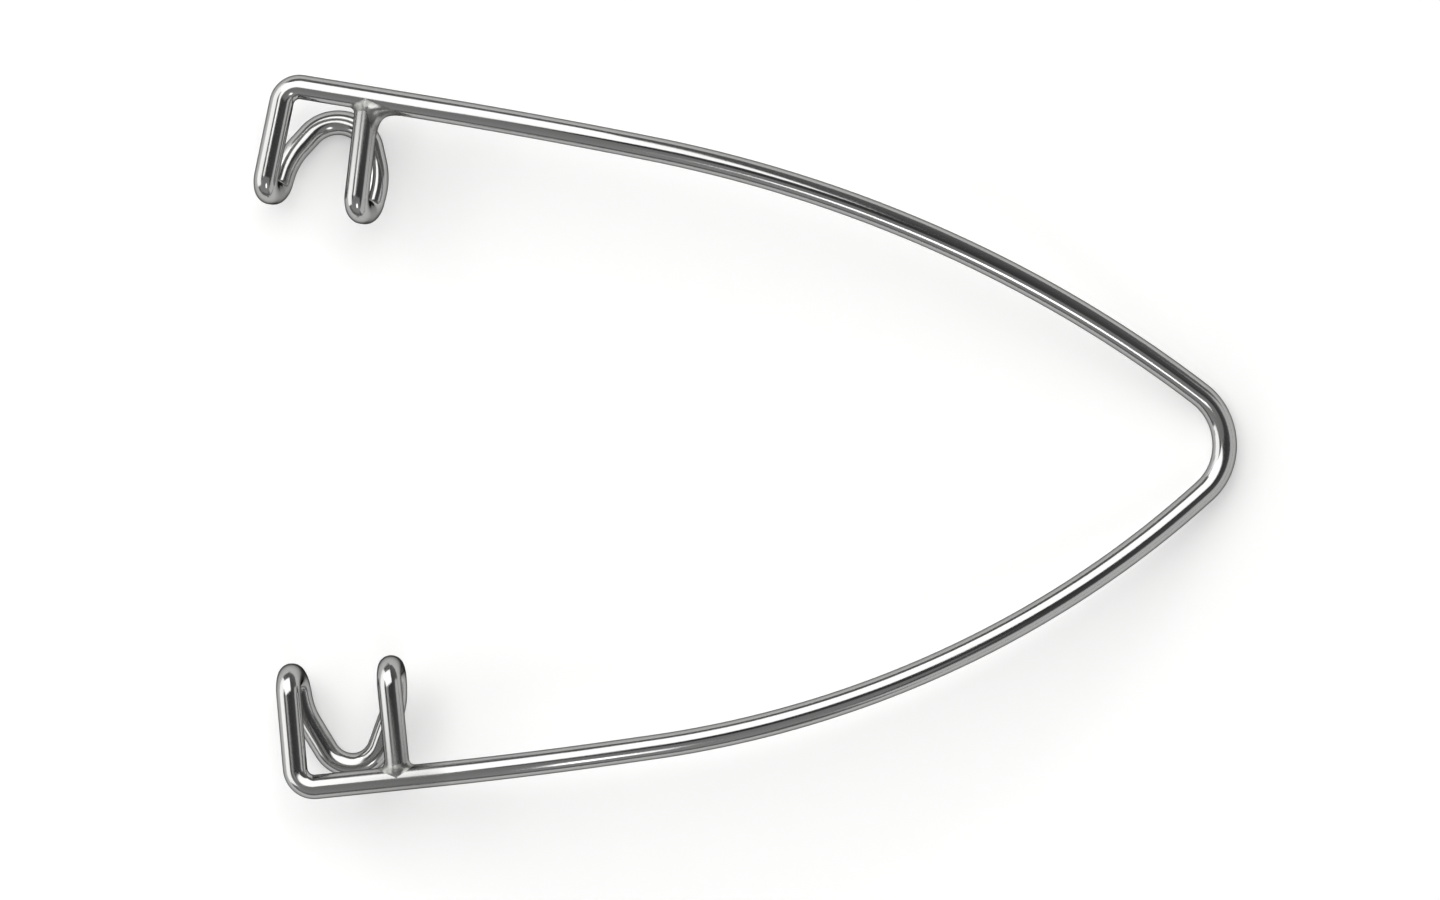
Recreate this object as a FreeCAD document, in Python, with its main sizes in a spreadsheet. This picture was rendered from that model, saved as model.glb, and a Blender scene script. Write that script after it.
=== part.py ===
import FreeCAD, Part
import math
import os
from FreeCAD import Placement, Rotation, Vector

# Wire eye speculum for an infant or small child.
# One length of round spring wire is bent into a spring at one end, two bowed
# arms, and a hooked blade at the end of each arm. Each end of the wire comes
# back to its own arm and is brazed to it, which closes the blade.
#
# Layout while it is built: the spring's outermost point is at the origin, the
# arms run towards -X, the upper arm lies on the +Y side and +Z is the side
# that faces the surgeon. The hooks reach down, towards the eye. The finished
# piece is then set down on the plane Z = 0, centred over the origin.

# The sheet of driving sizes, in millimetres and degrees. A heading is measured in
# plan from the line of the spring, and a rise is the climb away from the face,
# both in the direction away from the spring.
SHARED_SIZES = [
    ("wire_diameter", 1.0, "diameter of the round spring wire"),
    ("braze_diameter", 0.86, "thickness of the braze where it bridges leg and arm"),
]

# The upper lid's arm leaves the spring, bows over the cheek and comes down to its
# straight rail. Its blade hangs from that rail: the outer leg is the wire's own
# corner, the inner leg is its brazed end, and both turn back under into one loop.
UPPER_SIZES = [
    ("upper_spring_bend_radius", 2.57, "half of the spring bend, to the wire's middle"),
    ("upper_spring_heading", 36.0, "heading as the arm leaves the spring"),
    ("upper_spring_rise", 16.1, "climb as the arm leaves the spring"),
    ("upper_spring_run", 0.1, "straight wire after the spring bend"),
    ("upper_bow_radius", 47.8, "long bow of the arm"),
    ("upper_bow_heading", 10.0, "heading at the end of the long bow"),
    ("upper_bow_rise", 1.0, "climb at the end of the long bow"),
    ("upper_bow_run", 0.1, "straight wire after the long bow"),
    ("upper_dip_radius", 40.0, "bend that brings the arm down to its blade"),
    ("upper_rail_heading", 8.0, "heading of the straight rail that carries the blade"),
    ("upper_rail_rise", -12.0, "slope of that rail, down towards the face"),
    ("upper_rail_tail", 2.62, "straight rail between the brazed leg and the dip"),
    ("upper_root_spacing", 3.5, "between the legs where they leave the rail"),
    ("upper_tip_spacing", 3.9, "between the legs at their tips"),
    ("upper_outer_leg_length", 4.42, "rail to tip at the outer leg"),
    ("upper_inner_leg_length", 4.6, "rail to tip at the inner leg"),
    ("upper_leg_lean", 2.3, "lean of the legs away from the spring"),
    ("upper_corner_radius", 0.75, "corner from the rail into the outer leg"),
    ("upper_tip_radius", 0.65, "each of the two bends that turn a tip under"),
    ("upper_tip_run", 0.278, "straight wire between those two bends"),
    ("upper_hook_twist", 13.0, "twist of the hook about its legs, towards the spring"),
    ("upper_loop_inset", 0.0, "how much narrower the loop is than the legs' tips"),
    ("upper_loop_opening", 18.0, "angle by which the loop opens away from the legs"),
    ("upper_loop_side_run", 0.335, "straight side of the loop above a tip"),
    ("upper_loop_side_lean", 1.0, "inward lean of that side"),
    ("upper_shoulder_radius", 3.0, "soft shoulder bend of the loop"),
    ("upper_shoulder_lean", 27.0, "inward lean after the shoulder"),
    ("upper_shoulder_run", 0.66, "straight wire between shoulder and arch"),
    ("upper_spring_side_fillet", 0.78, "hollow radius of the braze on the spring's side"),
    ("upper_outer_side_fillet", 0.22, "hollow radius of the braze on the outer side"),
]

# The lower lid's arm and blade have the same make, bent by hand to their own sizes.
LOWER_SIZES = [
    ("lower_spring_bend_radius", 2.4, "half of the spring bend, to the wire's middle"),
    ("lower_spring_heading", 43.5, "heading as the arm leaves the spring"),
    ("lower_spring_rise", 14.0, "climb as the arm leaves the spring"),
    ("lower_spring_run", 0.1, "straight wire after the spring bend"),
    ("lower_bow_radius", 40.2, "long bow of the arm"),
    ("lower_bow_heading", 9.5, "heading at the end of the long bow"),
    ("lower_bow_rise", 1.0, "climb at the end of the long bow"),
    ("lower_bow_run", 1.2, "straight wire after the long bow"),
    ("lower_dip_radius", 35.0, "bend that brings the arm down to its blade"),
    ("lower_rail_heading", 7.2, "heading of the straight rail that carries the blade"),
    ("lower_rail_rise", -12.0, "slope of that rail, down towards the face"),
    ("lower_rail_tail", 1.25, "straight rail between the brazed leg and the dip"),
    ("lower_root_spacing", 4.25, "between the legs where they leave the rail"),
    ("lower_tip_spacing", 4.2, "between the legs at their tips"),
    ("lower_outer_leg_length", 4.6, "rail to tip at the outer leg"),
    ("lower_inner_leg_length", 4.52, "rail to tip at the inner leg"),
    ("lower_leg_lean", -0.8, "lean of the legs away from the spring"),
    ("lower_corner_radius", 0.8, "corner from the rail into the outer leg"),
    ("lower_tip_radius", 0.8, "each of the two bends that turn a tip under"),
    ("lower_tip_run", 0.18, "straight wire between those two bends"),
    ("lower_hook_twist", -3.0, "twist of the hook about its legs, towards the spring"),
    ("lower_loop_inset", 0.12, "how much narrower the loop is than the legs' tips"),
    ("lower_loop_opening", 6.0, "angle by which the loop opens away from the legs"),
    ("lower_loop_side_run", 0.197, "straight side of the loop above a tip"),
    ("lower_loop_side_lean", 4.0, "inward lean of that side"),
    ("lower_shoulder_radius", 3.0, "soft shoulder bend of the loop"),
    ("lower_shoulder_lean", 26.0, "inward lean after the shoulder"),
    ("lower_shoulder_run", 1.268, "straight wire between shoulder and arch"),
    ("lower_spring_side_fillet", 0.26, "hollow radius of the braze on the spring's side"),
    ("lower_outer_side_fillet", 0.32, "hollow radius of the braze on the outer side"),
]

SIDES = ["upper", "lower"]
UP = Vector(0, 0, 1)


def write_sheet(doc):
    """Put every driving size in one sheet, a row each, and return the sheet."""
    sheet = doc.addObject("Spreadsheet::Sheet", "Sizes")
    rows = SHARED_SIZES + UPPER_SIZES + LOWER_SIZES
    for index, (alias, value, meaning) in enumerate(rows, start=1):
        sheet.set("A%d" % index, alias)
        sheet.set("B%d" % index, str(value))
        sheet.set("C%d" % index, meaning)
        sheet.setAlias("B%d" % index, alias)
    doc.recompute()
    return sheet


def read_side(sheet, side):
    """Return one arm's and blade's sizes, by their names without the side."""
    prefix = side + "_"
    rows = UPPER_SIZES if side == "upper" else LOWER_SIZES
    return {row[0][len(prefix):]: float(sheet.get(row[0])) for row in rows}


def side_sign(side):
    """The upper arm lies on the +Y side of the middle line, the lower one on -Y."""
    return 1 if side == "upper" else -1


def direction(sign, heading, rise):
    """Unit vector away from the spring, from a heading and a rise in degrees."""
    turn, climb = math.radians(heading), math.radians(rise)
    level = math.cos(climb)
    return Vector(-math.cos(turn) * level, sign * math.sin(turn) * level, math.sin(climb))


def unit(vector):
    """Return the vector at a length of one."""
    return Vector(vector) / vector.Length


def tangent_length(radius, before, after):
    """Distance from a bend's corner point to where its arc starts."""
    return radius * math.tan(before.getAngle(after) / 2)


def arm_points(sign, size):
    """Corner points and bend radii of an arm, from the spring to its corner."""
    ways = [
        Vector(0, sign, 0),
        direction(sign, size["spring_heading"], size["spring_rise"]),
        direction(sign, size["bow_heading"], size["bow_rise"]),
        direction(sign, size["rail_heading"], size["rail_rise"]),
    ]
    radii = [size["spring_bend_radius"], size["bow_radius"], size["dip_radius"]]
    reach = [tangent_length(radii[i], ways[i], ways[i + 1]) for i in range(3)]
    rail_run = size["root_spacing"] + size["rail_tail"]
    spring = ways[0] * reach[0]
    bow = spring + ways[1] * (reach[0] + size["spring_run"] + reach[1])
    dip = bow + ways[2] * (reach[1] + size["bow_run"] + reach[2])
    corner = dip + ways[3] * (reach[2] + rail_run)
    return [spring, bow, dip, corner], radii, ways[3]


def blade_axes(sign, size, rail):
    """Directions of a blade: along its rail, down its legs and back under."""
    along = rail * -1
    leg = unit(along.cross(UP)) * sign
    under = unit(along.cross(leg)) * sign
    lean, twist = math.radians(size["leg_lean"]), math.radians(size["hook_twist"])
    leg = leg * math.cos(lean) - along * math.sin(lean)
    back = under * math.cos(twist) + along * math.sin(twist)
    return along, leg, back


def blade_points(sign, size, corner, rail):
    """Corner points and bend radii of a blade, from its corner to its root."""
    along, leg, back = blade_axes(sign, size, rail)
    opening = math.radians(size["loop_opening"])
    side_lean = math.radians(size["loop_side_lean"])
    shoulder_lean = math.radians(size["shoulder_lean"])

    # The two bends of a tip: a square one, and one short of square by the opening.
    tip_radius = size["tip_radius"]
    second_reach = tip_radius * math.tan((math.pi / 2 - opening) / 2)
    depth = tip_radius + size["tip_run"] + second_reach
    outer_tip = corner + leg * size["outer_leg_length"]
    inner_tip = corner + leg * size["inner_leg_length"] + along * size["tip_spacing"]
    outer_back = outer_tip + back * depth + along * size["loop_inset"]
    inner_back = inner_tip + back * depth

    # The loop lies in its own plane: across from tip to tip, and up to the arch.
    across = unit(inner_back - outer_back)
    climb = unit(back * math.sin(opening) - leg * math.cos(opening))
    climb = unit(climb - across * climb.dot(across))
    half_width = (inner_back - outer_back).Length / 2
    shoulder_reach = size["shoulder_radius"] * math.tan((shoulder_lean - side_lean) / 2)
    side_height = second_reach + size["loop_side_run"] + shoulder_reach
    side_shift = side_height * math.tan(side_lean)
    outer_shoulder = outer_back + climb * side_height + across * side_shift
    inner_shoulder = inner_back + climb * side_height - across * side_shift
    slope_length = (half_width - side_shift) / math.sin(shoulder_lean)
    arch = outer_shoulder + across * (half_width - side_shift)
    arch = arch + climb * slope_length * math.cos(shoulder_lean)
    arch_reach = slope_length - shoulder_reach - size["shoulder_run"]
    arch_radius = arch_reach * math.tan(shoulder_lean)

    root = corner + along * size["root_spacing"]
    points = [outer_tip, outer_back, outer_shoulder, arch, inner_shoulder, inner_back, inner_tip, root]
    radii = [size["corner_radius"], tip_radius, tip_radius, size["shoulder_radius"], arch_radius]
    radii += [size["shoulder_radius"], tip_radius, tip_radius]
    return points, radii


def side_points(side, size):
    """All corner points of one side, from the spring to the root of its inner leg."""
    sign = side_sign(side)
    points, radii, rail = arm_points(sign, size)
    blade, blade_radii = blade_points(sign, size, points[-1], rail)
    return points + blade, radii + blade_radii


def bend(before, corner, after, radius):
    """One bend of the wire at a corner point: its start, middle, end, centre and turn."""
    way_in, way_out = unit(corner - before), unit(after - corner)
    turn = way_in.getAngle(way_out)
    reach = radius * math.tan(turn / 2)
    start, end = corner - way_in * reach, corner + way_out * reach
    inward = unit(way_out - way_in * way_in.dot(way_out))
    centre = start + inward * radius
    middle = centre + unit(corner - centre) * radius
    return {"start": start, "middle": middle, "end": end, "centre": centre, "turn": turn}


def wire_line(points, radii):
    """Straight runs joined by tangent arcs: the middle line of the bent wire."""
    shortest = 1e-4
    edges, last = [], points[0]
    for index, radius in enumerate(radii, start=1):
        arc = bend(points[index - 1], points[index], points[index + 1], radius)
        if (arc["start"] - last).Length > shortest:
            edges.append(Part.LineSegment(last, arc["start"]).toShape())
            last = arc["start"]
        edges.append(Part.Arc(last, arc["middle"], arc["end"]).toShape())
        last = arc["end"]
    edges.append(Part.LineSegment(last, points[-1]).toShape())
    return Part.Wire(edges)


def make_bent_wire(doc, points, radii):
    """Sweep the round section along the wire's middle line."""
    line = doc.addObject("Part::Feature", "WireLine")
    line.Shape = wire_line(points, radii)

    section = doc.addObject("Part::Circle", "WireSection")
    section.setExpression("Radius", "Sizes.wire_diameter / 2")
    section.Placement = Placement(points[0], Rotation(UP, points[1] - points[0]))

    wire = doc.addObject("Part::Sweep", "BentWire")
    wire.Sections = [section]
    wire.Spine = (line, ["Edge%d" % (i + 1) for i in range(len(line.Shape.Edges))])
    wire.Solid = True
    wire.Frenet = False
    return line, wire


def leg_end_start(doc, tip, root):
    """Where the bent wire hands over to its coped end, a wire's diameter from the root."""
    return root + unit(tip - root) * float(doc.Sizes.get("wire_diameter"))


def make_leg_end(doc, side, tip, root):
    """The last straight of an inner leg, an eighth of a wire past its arm's middle line."""
    way = unit(root - tip)
    end = doc.addObject("Part::Cylinder", side.capitalize() + "LegEnd")
    end.setExpression("Radius", "Sizes.wire_diameter / 2")
    end.setExpression("Height", "Sizes.wire_diameter * 9 / 8")
    end.Placement = Placement(leg_end_start(doc, tip, root), Rotation(UP, way))
    return end


def make_braze(doc, side, name, leg_way, rail_way, root):
    """A hollow fillet of braze between a leg and its rail, on one side of the leg.

    It is a short bend of round section that leaves the leg's middle line and
    joins the rail's middle line, so only its hollow inner face stands clear.
    """
    fillet = float(doc.Sizes.get("%s_%s_side_fillet" % (side, name)))
    radius = fillet + float(doc.Sizes.get("braze_diameter")) / 2
    arc = bend(root + leg_way, root, root + rail_way, radius)
    outward = unit(arc["start"] - arc["centre"])
    axis = unit(leg_way.cross(rail_way)) * -1

    braze = doc.addObject("Part::Torus", side.capitalize() + name.capitalize() + "Braze")
    braze.setExpression("Radius1", "Sizes.%s_%s_side_fillet + Sizes.braze_diameter / 2" % (side, name))
    braze.setExpression("Radius2", "Sizes.braze_diameter / 2")
    braze.Angle3 = math.degrees(arc["turn"])
    braze.Placement = Placement(arc["centre"], Rotation(outward, axis.cross(outward), axis, "ZXY"))
    return braze


def make_side_joints(doc, side, points):
    """The coped leg end and the braze that close one blade."""
    corner, tip, root = points[3], points[-2], points[-1]
    leg_way, rail_way = unit(tip - root), unit(root - corner)
    return [
        make_leg_end(doc, side, tip, root),
        make_braze(doc, side, "spring", leg_way, rail_way, root),
        make_braze(doc, side, "outer", leg_way, rail_way * -1, root),
    ]


def set_down(piece):
    """Centre the piece over the origin, with its lowest point on Z = 0."""
    box = piece.Shape.optimalBoundingBox(False)
    piece.Placement = Placement(Vector(-box.Center.x, -box.Center.y, -box.ZMin), Rotation())


def check_object(item):
    """Stop if an object of the document failed or is empty."""
    if "Invalid" in item.State or "Error" in item.State:
        raise RuntimeError(item.Name + " failed: " + str(item.State))
    if hasattr(item, "Shape") and (item.Shape.isNull() or not item.Shape.isValid()):
        raise RuntimeError(item.Name + " has no valid shape")


def lay_out(doc, sheet):
    """Corner points and radii of the whole wire, and the joints that close its blades.

    The line starts at the upper leg's end, runs through the spring and stops at
    the lower leg's end, short of each arm by the length of the coped end.
    """
    points, radii, joints = [], [], []
    for side in SIDES:
        side_line, side_radii = side_points(side, read_side(sheet, side))
        line = side_line[:-1] + [leg_end_start(doc, side_line[-2], side_line[-1])]
        if side == "upper":
            points, radii = line[::-1], side_radii[::-1]
        else:
            points, radii = points + line, radii + side_radii
        joints += make_side_joints(doc, side, side_line)
    return points, radii, joints


def make_piece(doc, solids):
    """Join the wire, its coped ends and its braze into the one solid, and set it down."""
    piece = doc.addObject("Part::MultiFuse", "SpeculumWire")
    piece.Label = "speculum_wire"
    piece.Shapes = solids
    piece.Refine = True
    doc.recompute()
    set_down(piece)
    doc.recompute()
    return piece


def check_piece(doc, sheet, line, wire, piece):
    """Stop if the wire has lost its section anywhere, or isn't one sound solid."""
    for item in doc.Objects:
        check_object(item)
    section_area = math.pi * float(sheet.get("wire_diameter")) ** 2 / 4
    expected = section_area * line.Shape.Length
    if abs(wire.Shape.Volume - expected) > 0.001 * expected:
        raise RuntimeError("the swept wire's volume isn't its section times its length")
    if len(piece.Shape.Solids) != 1:
        raise RuntimeError("the speculum isn't one solid")


def main():
    """Build the speculum, check it and write its STEP file."""
    doc = FreeCAD.newDocument("WireEyeSpeculum")
    sheet = write_sheet(doc)
    points, radii, joints = lay_out(doc, sheet)
    line, wire = make_bent_wire(doc, points, radii)
    piece = make_piece(doc, [wire] + joints)
    check_piece(doc, sheet, line, wire, piece)

    os.makedirs("parts", exist_ok=True)
    piece.Shape.exportStep("parts/" + piece.Label + ".step")
    box = piece.Shape.optimalBoundingBox(False)
    print("speculum_wire: %.2f x %.2f x %.2f mm" % (box.XLength, box.YLength, box.ZLength))
    print("wire length %.1f mm, volume %.2f mm3" % (line.Shape.Length, piece.Shape.Volume))
    print("bend radii:", " ".join("%.2f" % radius for radius in radii))


main()
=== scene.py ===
"""Looks of the wire eye speculum: its polished wire, its brazed joints and a plain studio.

Everything lies in the frame of the CAD: +X runs towards the spring bend, +Y towards
the upper lid's arm and +Z away from the eye. Sizes are written in millimetres and
degrees, and are turned into metres where Blender takes them.
"""

import logging
import math
from dataclasses import dataclass
from enum import Enum
from typing import Any

import bpy
from mathutils import Matrix, Quaternion, Vector


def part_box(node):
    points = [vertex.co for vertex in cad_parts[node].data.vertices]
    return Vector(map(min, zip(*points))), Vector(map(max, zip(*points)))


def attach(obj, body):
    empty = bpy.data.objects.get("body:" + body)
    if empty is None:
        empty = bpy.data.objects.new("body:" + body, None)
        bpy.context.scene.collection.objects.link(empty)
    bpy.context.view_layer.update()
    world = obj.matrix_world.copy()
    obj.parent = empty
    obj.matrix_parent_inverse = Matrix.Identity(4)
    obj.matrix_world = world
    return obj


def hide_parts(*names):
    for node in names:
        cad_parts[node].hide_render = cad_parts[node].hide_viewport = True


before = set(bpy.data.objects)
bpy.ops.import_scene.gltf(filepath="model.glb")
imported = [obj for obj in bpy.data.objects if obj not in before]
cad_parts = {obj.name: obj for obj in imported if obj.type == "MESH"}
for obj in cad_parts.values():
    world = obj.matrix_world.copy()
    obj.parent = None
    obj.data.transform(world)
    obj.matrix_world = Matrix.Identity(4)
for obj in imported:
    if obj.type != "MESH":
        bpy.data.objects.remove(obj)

MM = 0.001
CAD_NODE = "speculum_wire"
NO_GAP = 0.001  # mm, so that nothing is divided by zero
UP = Vector((0.0, 0.0, 1.0))

# Noise keeps near its middle, so its patterns are spread between these two values of it.
NOISE_LOW, NOISE_HIGH = 0.3, 0.7

log = logging.getLogger("wire_eye_speculum")


class Side(Enum):
    """An arm, by the lid that it holds. Its value is the side of the middle line it lies on."""

    UPPER = 1
    LOWER = -1


def linear(hex_colour: str) -> tuple[float, float, float, float]:
    """Turn an sRGB hex colour into the linear colour that a shader takes.

    Args:
        hex_colour: Six hex digits, such as "C8C8C6".

    Returns:
        Red, green, blue and an alpha of one.
    """
    channels = [int(hex_colour[i:i + 2], 16) / 255 for i in (0, 2, 4)]
    bright = [c / 12.92 if c <= 0.04045 else ((c + 0.055) / 1.055) ** 2.4 for c in channels]
    return (*bright, 1.0)


def grey(level: float) -> tuple[float, float, float, float]:
    """A neutral colour at a linear level."""
    return (level, level, level, 1.0)


def add_node(tree: bpy.types.NodeTree, kind: str, settings: dict[str, Any] | None = None,
             links: dict[str | int, Any] | None = None) -> bpy.types.Node:
    """Add one node to a tree, with its settings and what feeds its sockets.

    Args:
        tree: The tree that the node goes into.
        kind: The node's class name.
        settings: Properties of the node itself, by name.
        links: For each input, by name or number, a socket to link or a value to set.

    Returns:
        The new node.
    """
    node = tree.nodes.new(kind)
    for name, value in (settings or {}).items():
        setattr(node, name, value)
    for name, source in (links or {}).items():
        if isinstance(source, bpy.types.NodeSocket):
            tree.links.new(source, node.inputs[name])
        else:
            node.inputs[name].default_value = source
    return node


def empty_nodes(owner: bpy.types.Material | bpy.types.World) -> bpy.types.NodeTree:
    """Give a material or world an empty node tree, and return the tree."""
    owner.use_nodes = True
    owner.node_tree.nodes.clear()
    return owner.node_tree


def new_tree(name: str, inputs: dict[str, str]) -> tuple[bpy.types.NodeTree, bpy.types.Node]:
    """Start a Geometry Nodes tree with named inputs and one geometry output.

    Args:
        name: The tree's name.
        inputs: The socket type of each input, by the input's name.

    Returns:
        The tree and its group input node.
    """
    tree = bpy.data.node_groups.new(name, "GeometryNodeTree")
    tree.interface.new_socket("Geometry", in_out="OUTPUT", socket_type="NodeSocketGeometry")
    tree.interface.new_socket("Geometry", in_out="INPUT", socket_type="NodeSocketGeometry")
    for label, kind in inputs.items():
        tree.interface.new_socket(label, in_out="INPUT", socket_type=kind)
    return tree, add_node(tree, "NodeGroupInput")


def finish_tree(tree: bpy.types.NodeTree, shape: bpy.types.NodeSocket,
                material: bpy.types.NodeSocket) -> None:
    """End a tree: smooth faces, real geometry and the piece's material."""
    smooth = add_node(tree, "GeometryNodeSetShadeSmooth", links={"Geometry": shape})
    real = add_node(tree, "GeometryNodeRealizeInstances", links={"Geometry": smooth.outputs[0]})
    dressed = add_node(tree, "GeometryNodeSetMaterial",
                       links={"Geometry": real.outputs[0], "Material": material})
    add_node(tree, "NodeGroupOutput", links={0: dressed.outputs[0]})


def grow(name: str, start: bpy.types.Mesh, tree: bpy.types.NodeTree,
         values: dict[str, Any]) -> bpy.types.Object:
    """Run a Geometry Nodes tree on a mesh and keep its result as a plain mesh.

    Args:
        name: The name of the finished piece.
        start: The mesh that the tree starts from.
        tree: The Geometry Nodes tree.
        values: A value for each named input of the tree.

    Returns:
        The finished piece, at the origin and with no modifier.
    """
    piece = bpy.data.objects.new(name, start)
    bpy.context.scene.collection.objects.link(piece)
    modifier = piece.modifiers.new(tree.name, "NODES")
    modifier.node_group = tree
    for item in tree.interface.items_tree:
        if item.in_out == "INPUT" and item.name in values:
            modifier[item.identifier] = values[item.name]
    graph = bpy.context.evaluated_depsgraph_get()
    grown = bpy.data.meshes.new_from_object(piece.evaluated_get(graph), depsgraph=graph)
    piece.modifiers.clear()
    piece.data = grown
    grown.name = name
    bpy.data.meshes.remove(start)
    return piece


def hand_over(piece: bpy.types.Object) -> None:
    """Let a finished piece ride on the CAD's one body."""
    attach(piece, "root")


@dataclass(frozen=True)
class DrawnStainless:
    """Hard-drawn stainless spring wire, bent and then buffed to a near-mirror polish.

    The eye sees crisp bands of the studio along the wire. They are broken by faint
    lines that drawing left along it, and they waver where the buffing was uneven.
    """

    colour: str = "ABABAA"
    heated_colour: str = "8E8E8C"
    # Painted shade: the edge tint is near black, so the wire reflects little at its rims and shows
    # a painted dark outline.
    dark_rim_tint: float = 0.06
    roughness: tuple[float, float] = (0.10, 0.19)
    heated_roughness: float = 0.16
    draw_line_width: float = 0.11
    draw_line_length: float = 5.0
    draw_line_depth: float = 0.0009
    waver_size: float = 1.6
    waver_depth: float = 0.004

    def material(self) -> bpy.types.Material:
        """Make the material. Its patterns follow the wire's own attribute, wire_grain."""
        material = bpy.data.materials.new("buffed_drawn_stainless_wire")
        tree = empty_nodes(material)
        grain = add_node(tree, "ShaderNodeAttribute", {"attribute_name": "wire_grain"})

        # Real draw lines are a few micrometres wide, too fine to show, so these are coarser.
        across, along = 1 / (self.draw_line_width * MM), 1 / (self.draw_line_length * MM)
        drawn = add_node(tree, "ShaderNodeVectorMath", {"operation": "MULTIPLY"},
                         {0: grain.outputs["Vector"], 1: (across, across, along)})
        lines = add_node(tree, "ShaderNodeTexNoise",
                         links={"Vector": drawn.outputs[0], "Scale": 1.0, "Detail": 2.0,
                                "Roughness": 0.6})
        object_place = add_node(tree, "ShaderNodeTexCoord")
        waver = add_node(tree, "ShaderNodeTexNoise",
                         links={"Vector": object_place.outputs["Object"],
                                "Scale": 1 / (self.waver_size * MM), "Detail": 1.0})
        gloss = add_node(tree, "ShaderNodeMapRange",
                         links={"Value": lines.outputs[0], "From Min": NOISE_LOW,
                                "From Max": NOISE_HIGH, "To Min": self.roughness[0],
                                "To Max": self.roughness[1]})

        # Brazing heat left the wire duller and a little darker round each joint.
        heat = add_node(tree, "ShaderNodeAttribute", {"attribute_name": "braze_heat"})
        dulled = add_node(tree, "ShaderNodeMath", {"operation": "MULTIPLY_ADD"},
                          {0: heat.outputs["Fac"], 1: self.heated_roughness, 2: gloss.outputs[0]})
        colour = add_node(tree, "ShaderNodeMix", {"data_type": "RGBA"},
                          {0: heat.outputs["Fac"], 6: linear(self.colour),
                           7: linear(self.heated_colour)})
        uneven = add_node(tree, "ShaderNodeBump",
                          links={"Strength": 1.0, "Distance": self.waver_depth * MM,
                                 "Height": waver.outputs[0]})
        drawn_bump = add_node(tree, "ShaderNodeBump",
                              links={"Strength": 1.0, "Distance": self.draw_line_depth * MM,
                                     "Height": lines.outputs[0], "Normal": uneven.outputs[0]})
        # Painted shade: the near-black edge tint darkens the reflection at grazing angles into a
        # dark outline round the wire.
        metal = add_node(tree, "ShaderNodeBsdfPrincipled",
                         links={"Base Color": colour.outputs[2], "Metallic": 1.0,
                                "Specular Tint": grey(self.dark_rim_tint),
                                "Roughness": dulled.outputs[0], "Normal": drawn_bump.outputs[0]})
        add_node(tree, "ShaderNodeOutputMaterial", links={"Surface": metal.outputs[0]})
        return material


@dataclass(frozen=True)
class BuffedBraze:
    """Silver braze, run into the joint by capillary action and buffed over by hand.

    The eye sees a softer, blotchy gleam, because it is softer than the wire and keeps
    small pits where the flux boiled.
    """

    colour: str = "A4A4A2"
    pit_colour: str = "7C7C79"
    # Painted shade: the edge tint is near black, so the braze reflects little at its rims and shows
    # a painted dark outline.
    dark_rim_tint: float = 0.1
    roughness: tuple[float, float] = (0.18, 0.40)
    blotch_size: float = 0.45
    pit_size: float = 0.14
    pit_depth: float = 0.004

    def material(self) -> bpy.types.Material:
        """Make the material, with its patterns on the object's own coordinates."""
        material = bpy.data.materials.new("buffed_silver_braze")
        tree = empty_nodes(material)
        place = add_node(tree, "ShaderNodeTexCoord")
        blotches = add_node(tree, "ShaderNodeTexNoise",
                            links={"Vector": place.outputs["Object"],
                                   "Scale": 1 / (self.blotch_size * MM), "Detail": 3.0})
        pits = add_node(tree, "ShaderNodeTexNoise",
                        links={"Vector": place.outputs["Object"],
                               "Scale": 1 / (self.pit_size * MM), "Detail": 2.0})
        spread = add_node(tree, "ShaderNodeMapRange",
                          links={"Value": blotches.outputs[0], "From Min": 0.35, "From Max": 0.65})
        colour = add_node(tree, "ShaderNodeMix", {"data_type": "RGBA"},
                          {0: spread.outputs[0], 6: linear(self.colour),
                           7: linear(self.pit_colour)})
        gloss = add_node(tree, "ShaderNodeMapRange",
                         links={"Value": blotches.outputs[0], "From Min": NOISE_LOW,
                                "From Max": NOISE_HIGH, "To Min": self.roughness[0],
                                "To Max": self.roughness[1]})
        relief = add_node(tree, "ShaderNodeBump",
                          links={"Strength": 1.0, "Distance": self.pit_depth * MM,
                                 "Height": pits.outputs[0]})
        # Painted shade: the near-black edge tint darkens the reflection at grazing angles into a
        # dark outline round the braze.
        metal = add_node(tree, "ShaderNodeBsdfPrincipled",
                         links={"Base Color": colour.outputs[2], "Metallic": 1.0,
                                "Specular Tint": grey(self.dark_rim_tint),
                                "Roughness": gloss.outputs[0], "Normal": relief.outputs[0]})
        add_node(tree, "ShaderNodeOutputMaterial", links={"Surface": metal.outputs[0]})
        return material


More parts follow.
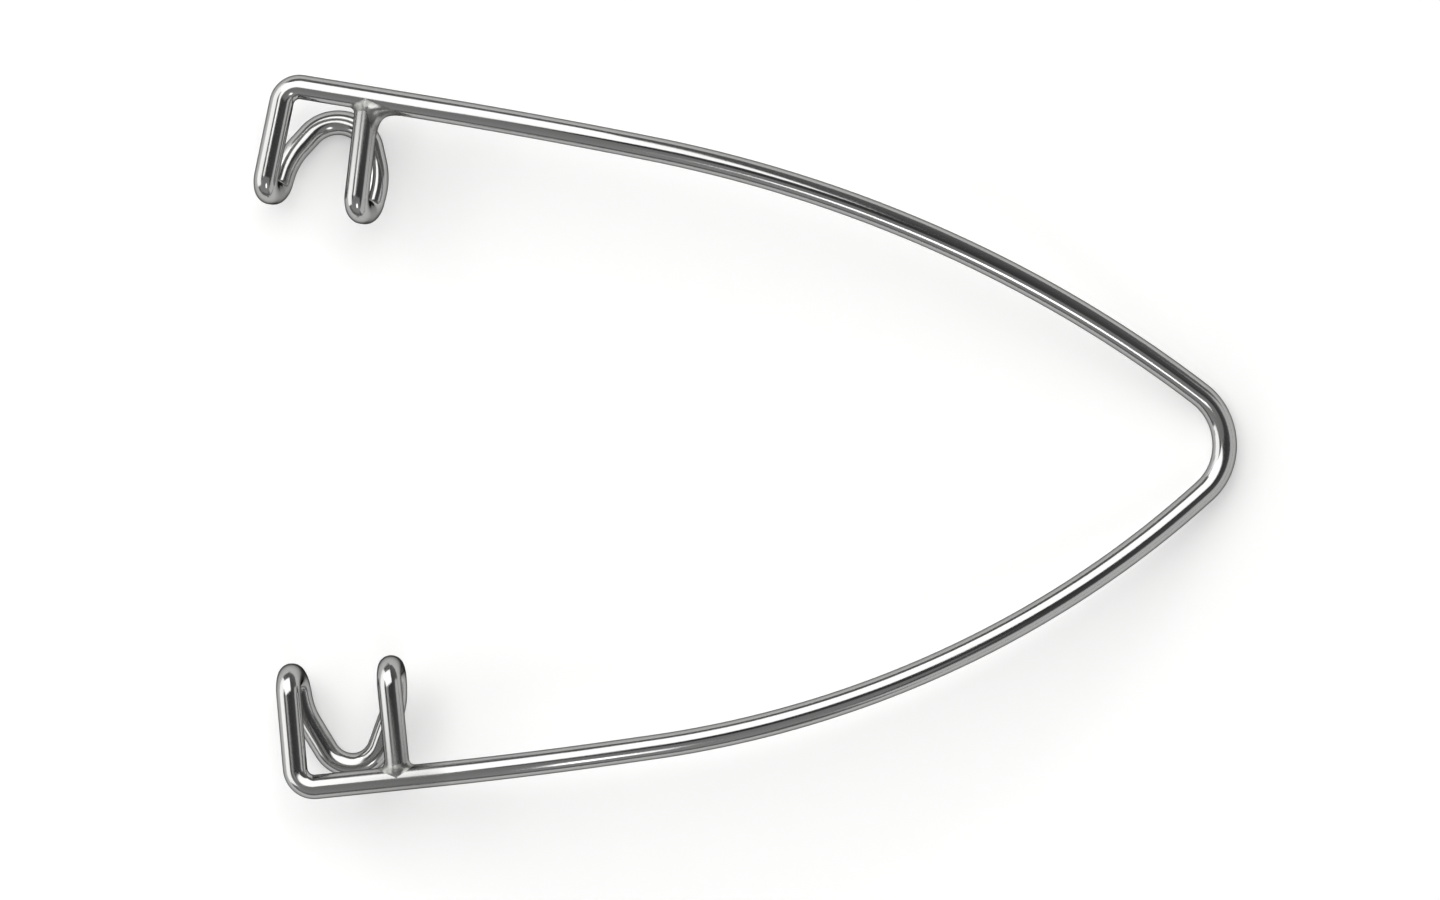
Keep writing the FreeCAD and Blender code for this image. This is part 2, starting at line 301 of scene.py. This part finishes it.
@dataclass(frozen=True)
class WhiteCard:
    """Matt white card, which the instrument lies on. It keeps a soft shadow."""

    colour: str = "DEDEDD"
    lift: float = 0.32
    tooth_size: float = 0.8
    tooth_depth: float = 0.01
    tooth_strength: float = 0.3

    def material(self) -> bpy.types.Material:
        """Make the material. The lift is what the card's own colour lacks to look white."""
        material = bpy.data.materials.new("matt_white_card")
        tree = empty_nodes(material)
        place = add_node(tree, "ShaderNodeTexCoord")
        tooth = add_node(tree, "ShaderNodeTexNoise",
                         links={"Vector": place.outputs["Object"],
                                "Scale": 1 / (self.tooth_size * MM)})
        relief = add_node(tree, "ShaderNodeBump",
                          links={"Strength": self.tooth_strength, "Distance": self.tooth_depth * MM,
                                 "Height": tooth.outputs[0]})
        card = add_node(tree, "ShaderNodeBsdfDiffuse",
                        links={"Color": linear(self.colour), "Normal": relief.outputs[0]})
        ray = add_node(tree, "ShaderNodeLightPath")
        seen = add_node(tree, "ShaderNodeMath", {"operation": "MAXIMUM"},
                        {0: ray.outputs["Is Camera Ray"], 1: ray.outputs["Is Glossy Ray"]})
        seen = add_node(tree, "ShaderNodeMath", {"operation": "MAXIMUM"},
                        {0: seen.outputs[0], 1: ray.outputs["Is Transmission Ray"]})
        amount = add_node(tree, "ShaderNodeMath", {"operation": "MULTIPLY"},
                          {0: seen.outputs[0], 1: self.lift})
        lift = add_node(tree, "ShaderNodeEmission",
                        links={"Color": grey(1.0), "Strength": amount.outputs[0]})
        both = add_node(tree, "ShaderNodeAddShader", links={0: card.outputs[0], 1: lift.outputs[0]})
        add_node(tree, "ShaderNodeOutputMaterial", links={"Surface": both.outputs[0]})
        return material


@dataclass
class Route:
    """The middle line of a piece of wire: corner points, and the bend radius at each."""

    corners: list[Vector]
    radii: list[float]

    def turn(self, index: int) -> float:
        """Angle in radians by which the wire turns at one corner."""
        way_in = self.corners[index] - self.corners[index - 1]
        way_out = self.corners[index + 1] - self.corners[index]
        return way_in.angle(way_out)


@dataclass(frozen=True)
class SpringArm:
    """One arm, from the middle of the spring bend over the cheek to its blade's corner."""

    side: Side
    spring_bend_radius: float
    spring_heading: float
    spring_rise: float
    spring_run: float
    bow_radius: float
    bow_heading: float
    bow_rise: float
    bow_run: float
    dip_radius: float
    rail_heading: float
    rail_rise: float
    rail_length: float

    def way(self, heading: float, rise: float) -> Vector:
        """Unit vector away from the spring, from a heading and a rise in degrees."""
        turn, climb = math.radians(heading), math.radians(rise)
        level = math.cos(climb)
        return Vector((-math.cos(turn) * level, self.side.value * math.sin(turn) * level,
                       math.sin(climb)))

    def rail_way(self) -> Vector:
        """Direction of the straight rail that carries the blade, away from the spring."""
        return self.way(self.rail_heading, self.rail_rise)

    def route(self) -> Route:
        """Corner points of the arm, in millimetres from the middle of the spring bend."""
        ways = [Vector((0.0, self.side.value, 0.0)),
                self.way(self.spring_heading, self.spring_rise),
                self.way(self.bow_heading, self.bow_rise),
                self.rail_way()]
        radii = [self.spring_bend_radius, self.bow_radius, self.dip_radius]
        reach = [radius * math.tan(ways[i].angle(ways[i + 1]) / 2)
                 for i, radius in enumerate(radii)]
        spring = ways[0] * reach[0]
        bow = spring + ways[1] * (reach[0] + self.spring_run + reach[1])
        dip = bow + ways[2] * (reach[1] + self.bow_run + reach[2])
        corner = dip + ways[3] * (reach[2] + self.rail_length)
        return Route([spring, bow, dip, corner], radii)


@dataclass(frozen=True)
class LidBlade:
    """The hooked wire blade at the end of an arm, from the wire's corner to its brazed root."""

    arm: SpringArm
    root_spacing: float
    tip_spacing: float
    outer_leg_length: float
    inner_leg_length: float
    leg_lean: float
    corner_radius: float
    tip_radius: float
    tip_run: float
    hook_twist: float
    loop_inset: float
    loop_opening: float
    loop_side_run: float
    loop_side_lean: float
    shoulder_radius: float
    shoulder_lean: float
    shoulder_run: float

    def axes(self) -> tuple[Vector, Vector, Vector]:
        """Unit vectors along the rail towards the spring, down the legs, and back under."""
        along = -self.arm.rail_way()
        leg = along.cross(UP).normalized() * self.arm.side.value
        under = along.cross(leg).normalized() * self.arm.side.value
        lean, twist = math.radians(self.leg_lean), math.radians(self.hook_twist)
        leg = leg * math.cos(lean) - along * math.sin(lean)
        back = under * math.cos(twist) + along * math.sin(twist)
        return along, leg, back

    def root(self) -> Vector:
        """Where the inner leg's middle line meets the rail's."""
        return self.arm.route().corners[-1] - self.arm.rail_way() * self.root_spacing

    def route(self) -> Route:
        """Corner points of the blade, in millimetres, from its outer tip to its root."""
        along, leg, back = self.axes()
        corner = self.arm.route().corners[-1]
        opening = math.radians(self.loop_opening)
        side_lean = math.radians(self.loop_side_lean)
        shoulder_lean = math.radians(self.shoulder_lean)

        # Two bends turn a tip under, and the second falls short of square by the opening.
        second_reach = self.tip_radius * math.tan((math.pi / 2 - opening) / 2)
        depth = self.tip_radius + self.tip_run + second_reach
        outer_tip = corner + leg * self.outer_leg_length
        inner_tip = corner + leg * self.inner_leg_length + along * self.tip_spacing
        outer_back = outer_tip + back * depth + along * self.loop_inset
        inner_back = inner_tip + back * depth

        # The loop lies in its own plane, up from both tips to the arch.
        across = (inner_back - outer_back).normalized()
        climb = back * math.sin(opening) - leg * math.cos(opening)
        climb = (climb - across * climb.dot(across)).normalized()
        half_width = (inner_back - outer_back).length / 2
        shoulder_reach = self.shoulder_radius * math.tan((shoulder_lean - side_lean) / 2)
        side_height = second_reach + self.loop_side_run + shoulder_reach
        side_shift = side_height * math.tan(side_lean)
        outer_shoulder = outer_back + climb * side_height + across * side_shift
        inner_shoulder = inner_back + climb * side_height - across * side_shift
        slope_length = (half_width - side_shift) / math.sin(shoulder_lean)
        arch = (outer_back + inner_back) / 2
        arch += climb * (side_height + slope_length * math.cos(shoulder_lean))
        arch_radius = (slope_length - shoulder_reach - self.shoulder_run) * math.tan(shoulder_lean)

        corners = [outer_tip, outer_back, outer_shoulder, arch, inner_shoulder, inner_back,
                   inner_tip, self.root()]
        radii = [self.corner_radius, self.tip_radius, self.tip_radius, self.shoulder_radius,
                 arch_radius, self.shoulder_radius, self.tip_radius, self.tip_radius]
        return Route(corners, radii)


@dataclass
class BentWire:
    """The one length of wire, bent into the spring, both arms and both blades."""

    blades: list[LidBlade]
    finish: DrawnStainless = DrawnStainless()
    diameter: float = 1.0
    sides_round: int = 56
    step_angle: float = 2.5
    step_length: float = 0.5
    shared_point: float = 0.01
    heat_reach: float = 2.2
    heat_fade: float = 0.5

    def route(self) -> Route:
        """The middle line from the upper leg's end through the spring to the lower leg's end."""
        halves = []
        for blade in self.blades:
            arm, hook = blade.arm.route(), blade.route()
            halves.append(Route(arm.corners + hook.corners, arm.radii + hook.radii))
        upper, lower = halves
        return Route(upper.corners[::-1] + lower.corners, upper.radii[::-1] + lower.radii)

    def start_mesh(self) -> bpy.types.Mesh:
        """A line through the route's corners that carries each bend's radius and steps."""
        route = self.route()
        count = len(route.corners)
        mesh = bpy.data.meshes.new("wire_line")
        mesh.from_pydata([p * MM for p in route.corners],
                         [(i, i + 1) for i in range(count - 1)], [])
        radius = mesh.attributes.new("bend_radius", "FLOAT", "POINT")
        steps = mesh.attributes.new("bend_steps", "INT", "POINT")
        for i in range(1, count - 1):
            turn, bend = route.turn(i), route.radii[i - 1]
            radius.data[i].value = bend * MM
            steps.data[i].value = math.ceil(max(math.degrees(turn) / self.step_angle,
                                                turn * bend / self.step_length))
        return mesh

    def tree(self) -> bpy.types.NodeTree:
        """Geometry Nodes that round the corners and sweep the round section along them."""
        tree, given = new_tree("Bent Wire", {"Wire Diameter": "NodeSocketFloat",
                                             "Sides Round": "NodeSocketInt",
                                             "Shared Point": "NodeSocketFloat",
                                             "Finish": "NodeSocketMaterial"})
        line = add_node(tree, "GeometryNodeMeshToCurve", links={0: given.outputs["Geometry"]})
        radius = add_node(tree, "GeometryNodeInputNamedAttribute", {"data_type": "FLOAT"},
                          {"Name": "bend_radius"})
        steps = add_node(tree, "GeometryNodeInputNamedAttribute", {"data_type": "INT"},
                         {"Name": "bend_steps"})
        bends = add_node(tree, "GeometryNodeFilletCurve", {"mode": "POLY"},
                         {"Curve": line.outputs[0], "Radius": radius.outputs[0],
                          "Count": steps.outputs[0]})

        # Two bends that touch share a point, which is merged so that the section turns evenly.
        joined = add_node(tree, "GeometryNodeCurveToMesh", links={"Curve": bends.outputs[0]})
        joined = add_node(tree, "GeometryNodeMergeByDistance",
                          links={"Geometry": joined.outputs[0],
                                 "Distance": given.outputs["Shared Point"]})
        bends = add_node(tree, "GeometryNodeMeshToCurve", links={0: joined.outputs[0]})
        length = add_node(tree, "GeometryNodeSplineParameter")
        bends = add_node(tree, "GeometryNodeStoreNamedAttribute", {"data_type": "FLOAT"},
                         {"Geometry": bends.outputs[0], "Name": "wire_length",
                          "Value": length.outputs["Length"]})
        half = add_node(tree, "ShaderNodeMath", {"operation": "DIVIDE"},
                        {0: given.outputs["Wire Diameter"], 1: 2.0})
        section = add_node(tree, "GeometryNodeCurvePrimitiveCircle",
                           links={"Resolution": given.outputs["Sides Round"],
                                  "Radius": half.outputs[0]})
        place = add_node(tree, "GeometryNodeInputPosition")
        section = add_node(tree, "GeometryNodeStoreNamedAttribute", {"data_type": "FLOAT_VECTOR"},
                           {"Geometry": section.outputs[0], "Name": "wire_section",
                            "Value": place.outputs[0]})
        swept = add_node(tree, "GeometryNodeCurveToMesh",
                         links={"Curve": bends.outputs[0], "Profile Curve": section.outputs[0],
                                "Fill Caps": True})

        # A place on the wire, for its finish: across the section, and along the length.
        far = add_node(tree, "GeometryNodeInputNamedAttribute", {"data_type": "FLOAT"},
                       {"Name": "wire_length"})
        across = add_node(tree, "GeometryNodeInputNamedAttribute", {"data_type": "FLOAT_VECTOR"},
                          {"Name": "wire_section"})
        forward = add_node(tree, "ShaderNodeCombineXYZ", links={"Z": far.outputs[0]})
        grain = add_node(tree, "ShaderNodeVectorMath", {"operation": "ADD"},
                         {0: across.outputs[0], 1: forward.outputs[0]})
        marked = add_node(tree, "GeometryNodeStoreNamedAttribute", {"data_type": "FLOAT_VECTOR"},
                          {"Geometry": swept.outputs[0], "Name": "wire_grain",
                           "Value": grain.outputs[0]})
        finish_tree(tree, marked.outputs[0], given.outputs["Finish"])
        return tree

    def build(self) -> bpy.types.Object:
        """Make the wire, with the middle of its spring bend at the origin."""
        return grow("bent_wire", self.start_mesh(), self.tree(),
                    {"Wire Diameter": self.diameter * MM, "Sides Round": self.sides_round,
                     "Shared Point": self.shared_point * MM, "Finish": self.finish.material()})

    def dress(self, piece: bpy.types.Object, spring: Vector) -> None:
        """Mark the heat of brazing on the wire, and let it stand for the CAD's wire.

        Args:
            piece: The wire, in its place.
            spring: The middle of the spring bend, in metres.
        """
        roots = [blade.root() * MM + spring for blade in self.blades]
        reach = self.heat_reach * MM
        heat = piece.data.attributes.new("braze_heat", "FLOAT", "POINT")
        for mark, vertex in zip(heat.data, piece.data.vertices):
            nearest = min((vertex.co - root).length for root in roots)
            mark.value = max(0.0, 1.0 - nearest / reach) ** self.heat_fade
        hand_over(piece)
        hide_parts(CAD_NODE)


@dataclass
class BrazedJoint:
    """The braze that closes a blade, where its inner leg meets the rail."""

    blade: LidBlade
    spring_side_blend: float
    outer_side_blend: float
    finish: BuffedBraze = BuffedBraze()
    crest_blend: float = 0.42
    under_wire: float = 0.006
    reach: float = 1.7
    voxel: float = 0.04
    grid_margin: float = 1.05
    wire_diameter: float = 1.0

    def tree(self) -> bpy.types.NodeTree:
        """Geometry Nodes that blend two round bars into one surface, by their distance."""
        tree, given = new_tree("Brazed Joint", {
            "Root": "NodeSocketVector", "Leg Way": "NodeSocketVector",
            "Rail Way": "NodeSocketVector", "Wire Radius": "NodeSocketFloat",
            "Spring Side Blend": "NodeSocketFloat",
            "Outer Side Blend": "NodeSocketFloat", "Crest Blend": "NodeSocketFloat",
            "Reach": "NodeSocketFloat", "Grid Margin": "NodeSocketFloat",
            "Voxels": "NodeSocketInt", "Finish": "NodeSocketMaterial"})

        def number(operation: str, *terms: Any) -> bpy.types.NodeSocket:
            """Result of one Math node."""
            return add_node(tree, "ShaderNodeMath", {"operation": operation},
                            dict(enumerate(terms))).outputs[0]

        def vector(operation: str, *terms: Any) -> bpy.types.NodeSocket:
            """Vector result of one Vector Math node."""
            return add_node(tree, "ShaderNodeVectorMath", {"operation": operation},
                            dict(enumerate(terms))).outputs["Vector"]

        def measure(operation: str, *terms: Any) -> bpy.types.NodeSocket:
            """Number that one Vector Math node measures."""
            return add_node(tree, "ShaderNodeVectorMath", {"operation": operation},
                            dict(enumerate(terms))).outputs["Value"]

        def scaled(way: Any, amount: bpy.types.NodeSocket) -> bpy.types.NodeSocket:
            """A vector, from a socket or written out, times a number."""
            return add_node(tree, "ShaderNodeVectorMath", {"operation": "SCALE"},
                            {0: way, "Scale": amount}).outputs["Vector"]

        leg_way, rail_way = given.outputs["Leg Way"], given.outputs["Rail Way"]
        radius, reach = given.outputs["Wire Radius"], given.outputs["Reach"]
        place = add_node(tree, "GeometryNodeInputPosition").outputs[0]
        down_leg = measure("DOT_PRODUCT", place, leg_way)
        along_leg = number("MAXIMUM", down_leg, 0.0)
        along_rail = measure("DOT_PRODUCT", place, rail_way)
        from_leg = vector("SUBTRACT", place, scaled(leg_way, along_leg))
        from_rail = vector("SUBTRACT", place, scaled(rail_way, along_rail))
        leg_gap = number("SUBTRACT", measure("LENGTH", from_leg), radius)
        rail_gap = number("SUBTRACT", measure("LENGTH", from_rail), radius)

        # The blend is widest in the corners beside the leg. It thins towards the leg's crest,
        # and towards the rail's middle line, so that the rail's far side stays bare.
        beside = number("DIVIDE", along_rail,
                        number("MAXIMUM", measure("LENGTH", from_leg), NO_GAP))
        spring_side = number("MULTIPLY", number("MAXIMUM", beside, 0.0),
                             given.outputs["Spring Side Blend"])
        outer_side = number("MULTIPLY", number("MAXIMUM", number("MULTIPLY", beside, -1.0), 0.0),
                            given.outputs["Outer Side Blend"])
        near_leg = add_node(tree, "ShaderNodeMapRange", {"interpolation_type": "SMOOTHSTEP"},
                            {"Value": down_leg, "From Min": 0.0, "From Max": radius}).outputs[0]
        widest = number("MAXIMUM", number("ADD", spring_side, outer_side),
                        given.outputs["Crest Blend"])
        blend = number("MULTIPLY", widest, near_leg)
        gap = number("SMOOTH_MIN", leg_gap, rail_gap, blend)
        inside = number("SUBTRACT", reach, measure("LENGTH", place))
        solid = number("MINIMUM", number("MULTIPLY", gap, -1.0), inside)

        # The field above is in millimetres round the joint, and so is the grid that samples it.
        corner = number("MULTIPLY", reach, given.outputs["Grid Margin"])
        low, high = scaled((-1.0, -1.0, -1.0), corner), scaled((1.0, 1.0, 1.0), corner)
        voxels = given.outputs["Voxels"]
        grid = add_node(tree, "GeometryNodeVolumeCube",
                        links={"Density": solid, "Background": -1.0, "Min": low, "Max": high,
                               "Resolution X": voxels, "Resolution Y": voxels,
                               "Resolution Z": voxels})
        skin = add_node(tree, "GeometryNodeVolumeToMesh",
                        links={"Volume": grid.outputs[0], "Threshold": 0.0})
        placed = add_node(tree, "GeometryNodeTransform",
                          links={"Geometry": skin.outputs[0], "Translation": given.outputs["Root"],
                                 "Scale": (MM, MM, MM)})
        finish_tree(tree, placed.outputs[0], given.outputs["Finish"])
        return tree

    def build(self, spring: Vector) -> bpy.types.Object:
        """Make the braze in its place.

        Args:
            spring: The middle of the spring bend, in metres.

        Returns:
            The braze as a plain mesh.
        """
        hook = self.blade.route()
        leg_way = (hook.corners[-2] - hook.corners[-1]).normalized()
        name = self.blade.arm.side.name.lower() + "_blade_braze"
        return grow(name, bpy.data.meshes.new("braze_start"), self.tree(), {
            "Root": self.blade.root() * MM + spring, "Leg Way": leg_way,
            "Rail Way": -self.blade.arm.rail_way(),
            "Wire Radius": self.wire_diameter / 2 - self.under_wire,
            "Spring Side Blend": self.spring_side_blend, "Outer Side Blend": self.outer_side_blend,
            "Crest Blend": self.crest_blend, "Reach": self.reach, "Grid Margin": self.grid_margin,
            "Voxels": round(2 * self.grid_margin * self.reach / self.voxel),
            "Finish": self.finish.material()})

    def dress(self, piece: bpy.types.Object) -> None:
        """Let the braze ride with the wire that it joins."""
        hand_over(piece)


@dataclass
class WireSpeculum:
    """The whole instrument: the bent wire and the braze of its two joints."""

    wire: BentWire
    joints: list[BrazedJoint]

    def build(self) -> Vector:
        """Make and dress every piece in its place.

        Returns:
            The middle of the spring bend, in metres.
        """
        wire = self.wire.build()
        spring = self.seat(wire)
        self.wire.dress(wire, spring)
        log.info("%s: %d faces", wire.name, len(wire.data.polygons))
        for joint in self.joints:
            braze = joint.build(spring)
            joint.dress(braze)
            log.info("%s: %d faces", braze.name, len(braze.data.polygons))
        return spring

    def seat(self, wire: bpy.types.Object) -> Vector:
        """Move the wire's mesh into the CAD node's box, and return where its spring went."""
        low = Vector([min(v.co[axis] for v in wire.data.vertices) for axis in range(3)])
        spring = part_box(CAD_NODE)[0] - low
        wire.data.transform(Matrix.Translation(spring))
        return spring


@dataclass(frozen=True)
class Softbox:
    """A square area lamp that faces the instrument, as bright as its radiance says."""

    name: str
    azimuth: float
    elevation: float
    distance: float
    width: float
    height: float
    radiance: float

    def build(self) -> bpy.types.Object:
        """Make the lamp. An area lamp's radiance is its power by its area and by pi."""
        light = bpy.data.lights.new(self.name, "AREA")
        light.shape = "RECTANGLE"
        light.size, light.size_y = self.width, self.height
        light.energy = self.radiance * math.pi * self.width * self.height
        lamp = bpy.data.objects.new(self.name, light)
        turn, tilt = math.radians(self.azimuth), math.radians(self.elevation)
        lamp.location = Vector((math.cos(turn) * math.cos(tilt), math.sin(turn) * math.cos(tilt),
                                math.sin(tilt))) * self.distance
        lamp.rotation_mode = "QUATERNION"
        lamp.rotation_quaternion = lamp.location.to_track_quat("Z", "Y")
        bpy.context.scene.collection.objects.link(lamp)
        return lamp


@dataclass
class Studio:
    """A white card, softboxes in a dim room and a camera that looks straight down."""

    lamps: tuple[Softbox, ...]
    card_size: float = 8.0
    wall_brightness: float = 0.22
    ceiling_brightness: float = 0.06
    wall_top: float = 0.1
    photo_width: float = 1440.0
    photo_height: float = 900.0
    photo_scale: float = 24.6
    photo_turn: float = 1.36
    spring_pixel: tuple[float, float] = (1224.65, 447.0)
    camera_height: float = 0.3

    def build(self, spring: Vector) -> None:
        """Make the studio round the instrument.

        Args:
            spring: The middle of the spring bend, in metres.
        """
        self.lay_card()
        self.light_room()
        for lamp in self.lamps:
            lamp.build()
            log.info("%s: radiance %.1f", lamp.name, lamp.radiance)
        self.aim_camera(spring)

    def lay_card(self) -> None:
        """Lay the card under the instrument."""
        half = self.card_size / 2
        mesh = bpy.data.meshes.new("white_card")
        mesh.from_pydata([(-half, -half, 0), (half, -half, 0), (half, half, 0), (-half, half, 0)],
                         [], [(0, 1, 2, 3)])
        mesh.materials.append(WhiteCard().material())
        card = bpy.data.objects.new("white_card", mesh)
        bpy.context.scene.collection.objects.link(card)

    def light_room(self) -> None:
        """Give the room behind the lamps its dim, even light."""
        world = bpy.data.worlds.new("dim_room")
        tree = empty_nodes(world)
        way = add_node(tree, "ShaderNodeTexCoord")
        height = add_node(tree, "ShaderNodeSeparateXYZ", links={0: way.outputs["Generated"]})
        level = add_node(tree, "ShaderNodeMapRange",
                         links={"Value": height.outputs["Z"], "From Min": self.wall_top,
                                "From Max": 1.0, "To Min": self.wall_brightness,
                                "To Max": self.ceiling_brightness})
        room = add_node(tree, "ShaderNodeBackground",
                        links={"Color": grey(1.0), "Strength": level.outputs[0]})
        add_node(tree, "ShaderNodeOutputWorld", links={"Surface": room.outputs[0]})
        bpy.context.scene.world = world

    def aim_camera(self, spring: Vector) -> None:
        """Put the camera where the photograph was taken, straight above, with a long lens."""
        data = bpy.data.cameras.new("camera")
        data.type = "ORTHO"
        data.ortho_scale = self.photo_width / self.photo_scale * MM
        camera = bpy.data.objects.new("camera", data)
        turn = Quaternion(UP, math.radians(self.photo_turn))
        right = (self.spring_pixel[0] - self.photo_width / 2) / self.photo_scale * MM
        above = (self.photo_height / 2 - self.spring_pixel[1]) / self.photo_scale * MM
        middle = spring - turn @ Vector((right, above, 0.0))
        camera.location = (middle.x, middle.y, self.camera_height)
        camera.rotation_mode = "QUATERNION"
        camera.rotation_quaternion = turn
        bpy.context.scene.collection.objects.link(camera)
        bpy.context.scene.camera = camera


def make_speculum() -> WireSpeculum:
    """Write down the instrument's sizes and put its sub-assemblies together.

    Returns:
        The instrument, not yet built.
    """
    upper_arm = SpringArm(
        side=Side.UPPER, spring_bend_radius=2.57, spring_heading=36.0, spring_rise=16.1,
        spring_run=0.1, bow_radius=47.8, bow_heading=10.0, bow_rise=1.0, bow_run=0.1,
        dip_radius=40.0, rail_heading=8.0, rail_rise=-12.0, rail_length=6.12)
    lower_arm = SpringArm(
        side=Side.LOWER, spring_bend_radius=2.40, spring_heading=43.5, spring_rise=14.0,
        spring_run=0.1, bow_radius=40.2, bow_heading=9.5, bow_rise=1.0, bow_run=1.2,
        dip_radius=35.0, rail_heading=7.2, rail_rise=-12.0, rail_length=5.5)
    upper_blade = LidBlade(
        arm=upper_arm, root_spacing=3.5, tip_spacing=3.9, outer_leg_length=4.42,
        inner_leg_length=4.6, leg_lean=2.3, corner_radius=0.75, tip_radius=0.65, tip_run=0.278,
        hook_twist=13.0, loop_inset=0.0, loop_opening=18.0, loop_side_run=0.335,
        loop_side_lean=1.0, shoulder_radius=3.0, shoulder_lean=27.0, shoulder_run=0.66)
    lower_blade = LidBlade(
        arm=lower_arm, root_spacing=4.25, tip_spacing=4.2, outer_leg_length=4.6,
        inner_leg_length=4.52, leg_lean=-0.8, corner_radius=0.8, tip_radius=0.8, tip_run=0.18,
        hook_twist=-3.0, loop_inset=0.12, loop_opening=6.0, loop_side_run=0.197,
        loop_side_lean=4.0, shoulder_radius=3.0, shoulder_lean=26.0, shoulder_run=1.268)
    return WireSpeculum(
        wire=BentWire([upper_blade, lower_blade]),
        joints=[BrazedJoint(upper_blade, spring_side_blend=1.37, outer_side_blend=0.39),
                BrazedJoint(lower_blade, spring_side_blend=0.46, outer_side_blend=0.56)])


def make_studio() -> Studio:
    """Write down the lamps, by where they stand round the instrument, in degrees and metres.

    Together with the room they light a level surface at a level of one.

    Returns:
        The studio, not yet built.
    """
    return Studio(lamps=(
        Softbox("top_softbox", azimuth=114.0, elevation=53.0, distance=0.7,
                width=0.78, height=0.7, radiance=2.45),
        Softbox("left_softbox", azimuth=171.0, elevation=21.0, distance=0.75,
                width=1.26, height=0.57, radiance=2.0),
        Softbox("front_strip", azimuth=275.0, elevation=48.0, distance=0.7,
                width=0.12, height=0.2, radiance=3.8),
        Softbox("front_card", azimuth=256.0, elevation=50.0, distance=0.7,
                width=1.0, height=0.95, radiance=0.28),
        Softbox("right_card", azimuth=342.0, elevation=20.0, distance=0.8,
                width=1.4, height=0.5, radiance=0.75)))


def main() -> None:
    """Build the instrument and its studio."""
    logging.basicConfig(level=logging.INFO, format="%(name)s: %(message)s")
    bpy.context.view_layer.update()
    spring = make_speculum().build()
    make_studio().build(spring)
    scene = bpy.context.scene
    scene.view_settings.view_transform = "Standard"


if __name__ == "__main__":
    main()
